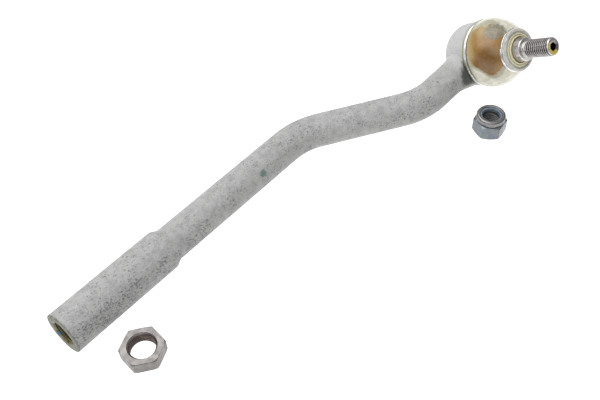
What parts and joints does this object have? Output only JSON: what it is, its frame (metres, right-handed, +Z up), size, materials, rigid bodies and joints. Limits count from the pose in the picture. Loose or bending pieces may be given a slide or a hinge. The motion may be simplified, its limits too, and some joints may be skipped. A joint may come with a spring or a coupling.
{
  "type": "tie rod end",
  "caption": "Forged steering tie rod end with a threaded sleeve, a jogged rod and a booted ball stud, with its jam nut and self-locking nut lying beside it.",
  "frame": {"origin": "centre of the sleeve's mouth face, on the axis of the sleeve's thread", "axes": "+X along the sleeve's thread from the mouth towards the ball joint, +Z up from the bench that the part lies on, +Y to the left seen along +X; the bench is one sleeve radius, 12.7 mm, below the origin"},
  "size_m": [0.3401, 0.1167, 0.0623],
  "materials": {
    "forging": "satin grey coated forging with dark speckles",
    "ball_seat_plastic": "smooth white acetal",
    "spring_steel": "dark spring steel",
    "plated_plate": "zinc plated steel",
    "stud_steel": "turned steel",
    "boot_polyurethane": "glossy, partly clear, with amber grease behind it",
    "ring_wire": "bright drawn spring wire",
    "collar_plastic": "translucent grey",
    "jam_nut_steel": "warm grey plated steel with darker edges",
    "lock_nut_steel": "bluish zinc plate",
    "nylon": "grey-blue nylon"
  },
  "bodies": {
    "rod": {"forged_rod": "forging", "upper_ball_seat": "ball_seat_plastic", "lower_ball_seat": "ball_seat_plastic", "preload_spring": "spring_steel", "cover_plate": "plated_plate"},
    "boot": {"dust_boot": "boot_polyurethane", "boot_base_ring": "ring_wire"},
    "collar": {"boot_collar": "collar_plastic", "boot_top_ring": "ring_wire"},
    "stud": {"ball_stud": "stud_steel"},
    "jam_nut_body": {"jam_nut": "jam_nut_steel"},
    "lock_nut_body": {"lock_nut": "lock_nut_steel", "lock_nut_insert": "nylon"}
  },
  "joints": [
    {"name": "swing_direction", "type": "hinge", "parent": "rod", "child": "boot", "pos_m": [0.3184, -0.0504, 0.0101], "axis": [-0.0872, -0.819, 0.5671], "continuous": true},
    {"name": "swing_angle", "type": "hinge", "parent": "boot", "child": "collar", "pos_m": [0.3184, -0.0504, 0.0101], "axis": [0.9962, -0.0717, 0.0496], "range_deg": [-25, 25], "deforming": ["dust_boot"]},
    {"name": "stud_spin", "type": "hinge", "parent": "collar", "child": "stud", "pos_m": [0.3184, -0.0504, 0.0101], "axis": [-0.0872, -0.819, 0.5671], "continuous": true},
    {"name": "jam_nut_lift", "type": "slide", "parent": "rod", "child": "jam_nut_body", "axis": [0, 0, 1], "range_m": [0, 0.1]},
    {"name": "lock_nut_lift", "type": "slide", "parent": "rod", "child": "lock_nut_body", "axis": [0, 0, 1], "range_m": [0, 0.1]}
  ]
}
